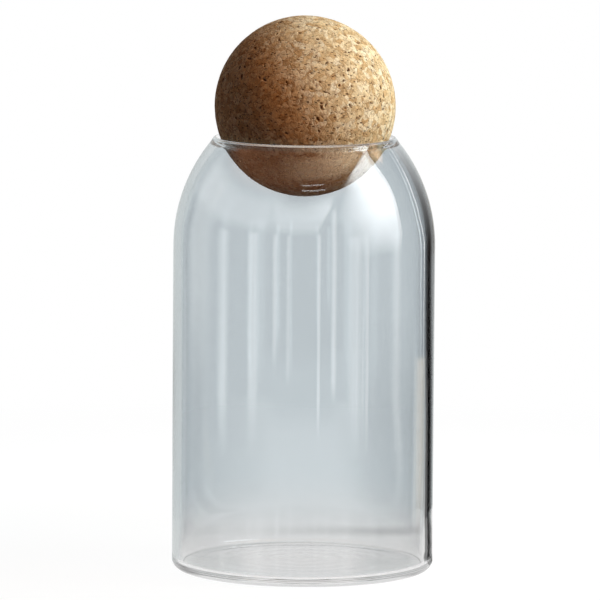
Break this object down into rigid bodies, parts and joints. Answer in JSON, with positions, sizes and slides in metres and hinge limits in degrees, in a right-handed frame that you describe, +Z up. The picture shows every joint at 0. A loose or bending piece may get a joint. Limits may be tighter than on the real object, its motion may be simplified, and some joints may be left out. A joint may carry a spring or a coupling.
{
  "type": "storage canister",
  "caption": "Tall round clear glass canister with a domed shoulder and a round-edged mouth, closed by a loose cork ball that lifts straight out.",
  "frame": {"origin": "middle of the base, on the surface that the jar stands on", "axes": "+Z up along the jar's axis of revolution, -Y towards the picture's camera, +X to the camera's right"},
  "size_m": [0.1, 0.1, 0.2123],
  "materials": {
    "glass": "polished, faintly blue-grey blown glass",
    "cork": "matte agglomerated cork, fine granules with dark flecks"
  },
  "bodies": {
    "jar": {"glass_jar": "glass"},
    "stopper": {"cork_ball": "cork"}
  },
  "joints": [
    {"name": "ball_lift", "type": "slide", "parent": "jar", "child": "stopper", "axis": [0, 0, 1], "range_m": [0, 0.1]}
  ]
}
